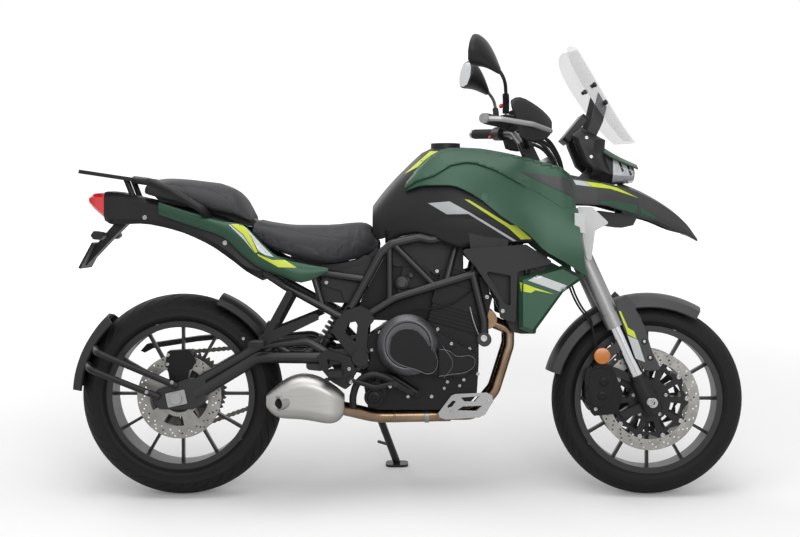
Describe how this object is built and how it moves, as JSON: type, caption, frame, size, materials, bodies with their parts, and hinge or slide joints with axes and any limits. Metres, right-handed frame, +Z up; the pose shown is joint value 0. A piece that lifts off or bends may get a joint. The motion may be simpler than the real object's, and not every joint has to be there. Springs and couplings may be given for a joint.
{
  "type": "adventure motorcycle",
  "caption": "Adventure touring motorcycle with trellis frame, upside-down fork, spoked cast wheels, beak, windscreen, hand guards and luggage rack, parked on its side stand.",
  "frame": {"origin": "middle of the whole motorcycle's outline on the ground, as it stands on its side stand", "axes": "+X forward, +Y to the rider's left, +Z up; the motorcycle leans to its left by 9 degrees"},
  "size_m": [2.1005, 0.8917, 1.4349],
  "materials": {
    "tyre": "matt rubber",
    "rim_black": "satin black cast",
    "disc_steel": "drilled, ground",
    "chain_steel": "oiled",
    "fork_silver": "satin anodised",
    "chrome": "polished",
    "cast_black": "black cast",
    "steel": "plain",
    "frame_black": "satin black",
    "rubber": "ribbed",
    "black_plastic": "grained",
    "guard_silver": "bead blasted",
    "engine_black": "black cast",
    "radiator_black": "fine fins",
    "pipe_bronze": "heat coloured",
    "muffler_steel": "brushed",
    "green_paint": "satin metallic green",
    "grey_plastic": "satin grey",
    "lamp_glass": "clear lens",
    "screen_glass": "clear",
    "seat_cover": "grained cover",
    "red_lens": "clear red",
    "rack_black": "black cast",
    "swingarm_black": "satin black"
  },
  "bodies": {
    "chassis": {"air_box": "black_plastic", "beak": "grey_plastic", "chain": "chain_steel", "engine": "engine_black", "engine_covers": "engine_black", "exhaust_pipes": "pipe_bronze", "exhaust_shield": "guard_silver", "foot_pegs": "cast_black", "frame": "frame_black", "fuel_tank": "black_plastic", "headlight": "lamp_glass", "headlight_brow": "green_paint", "instrument": "black_plastic", "lower_cowls": "black_plastic", "muffler": "muffler_steel", "nose_fairing": "black_plastic", "pillion_seat": "seat_cover", "pivot_plates": "cast_black", "plate_holder": "black_plastic", "radiator": "radiator_black", "rear_axle": "steel", "rear_caliper": "cast_black", "rear_guards": "black_plastic", "rear_rack": "rack_black", "rider_seat": "seat_cover", "scoops": "grey_plastic", "shock": "steel", "side_panels": "green_paint", "splash_guard": "black_plastic", "swingarm": "swingarm_black", "tail_body": "black_plastic", "tail_light": "red_lens", "tail_panels": "green_paint", "tank_shrouds": "green_paint", "windscreen": "screen_glass"},
    "steering": {"fork_clamps": "cast_black", "fork_tubes": "fork_silver", "fork_sliders": "chrome", "fork_feet": "cast_black", "front_axle": "steel", "handlebar": "frame_black", "grips": "rubber", "controls": "black_plastic", "hand_guard_bars": "guard_silver", "hand_guard_shells": "black_plastic", "mirrors": "black_plastic", "front_fender": "black_plastic", "front_calipers": "cast_black"},
    "front_wheel": {"front_rim": "rim_black", "front_tyre": "tyre", "front_discs": "disc_steel"},
    "rear_wheel": {"rear_rim": "rim_black", "rear_tyre": "tyre", "rear_disc": "disc_steel", "rear_sprocket": "chain_steel"},
    "side_stand": {"side_stand": "frame_black"}
  },
  "joints": [
    {"name": "steering_turn", "type": "hinge", "parent": "chassis", "child": "steering", "pos_m": [0.43217, -0.06448, 0.9027], "axis": [-0.4131, 0.1425, 0.8995], "range_deg": [-34, 34]},
    {"name": "front_wheel_spin", "type": "hinge", "parent": "steering", "child": "front_wheel", "pos_m": [0.75129, -0.16053, 0.29632], "axis": [0, 0.9877, -0.1564], "continuous": true},
    {"name": "rear_wheel_spin", "type": "hinge", "parent": "chassis", "child": "rear_wheel", "pos_m": [-0.70668, -0.15818, 0.31113], "axis": [0, 0.9877, -0.1564], "continuous": true},
    {"name": "side_stand_fold", "type": "hinge", "parent": "chassis", "child": "side_stand", "pos_m": [-0.1077, -0.00101, 0.22954], "axis": [0.09, 0.8712, 0.4826], "range_deg": [0, 90]}
  ]
}
